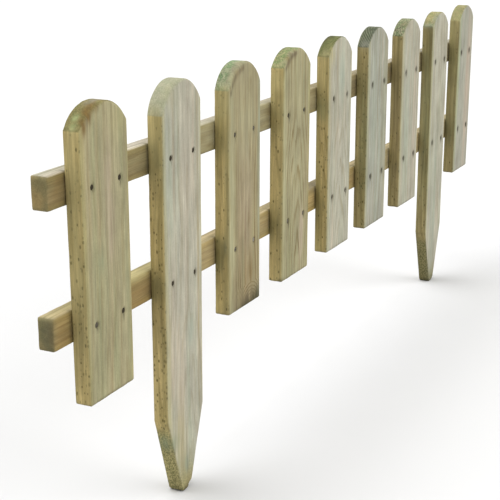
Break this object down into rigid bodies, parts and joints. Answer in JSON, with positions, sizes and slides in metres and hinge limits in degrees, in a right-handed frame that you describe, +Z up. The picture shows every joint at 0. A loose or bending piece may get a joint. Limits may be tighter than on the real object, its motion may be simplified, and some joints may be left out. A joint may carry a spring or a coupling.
{
  "type": "low picket fence panel",
  "caption": "Low timber picket fence panel: round-topped flat pickets nailed to two square rails, with two longer pointed stakes that go into the ground.",
  "frame": {"origin": "middle of the flat tip of the left-hand stake, which is the second picket from the left", "axes": "+X along the panel from left to right seen from the front, +Y from the front faces of the pickets to the rails behind them, +Z up along the pickets"},
  "size_m": [1.146, 0.032, 0.405],
  "materials": {
    "picket_timber": "planed green-treated softwood, unpainted, matt",
    "rail_timber": "planed treated softwood, browner than the pickets, matt",
    "nail_steel": "dulled dark steel"
  },
  "bodies": {
    "root": {"picket_1": "picket_timber", "stake_2": "picket_timber", "picket_3": "picket_timber", "picket_4": "picket_timber", "picket_5": "picket_timber", "picket_6": "picket_timber", "picket_7": "picket_timber", "stake_8": "picket_timber", "picket_9": "picket_timber", "lower_rail": "rail_timber", "upper_rail": "rail_timber", "nails_1": "nail_steel", "nails_2": "nail_steel", "nails_3": "nail_steel", "nails_4": "nail_steel", "nails_5": "nail_steel", "nails_6": "nail_steel", "nails_7": "nail_steel", "nails_8": "nail_steel", "nails_9": "nail_steel"}
  },
  "joints": []
}
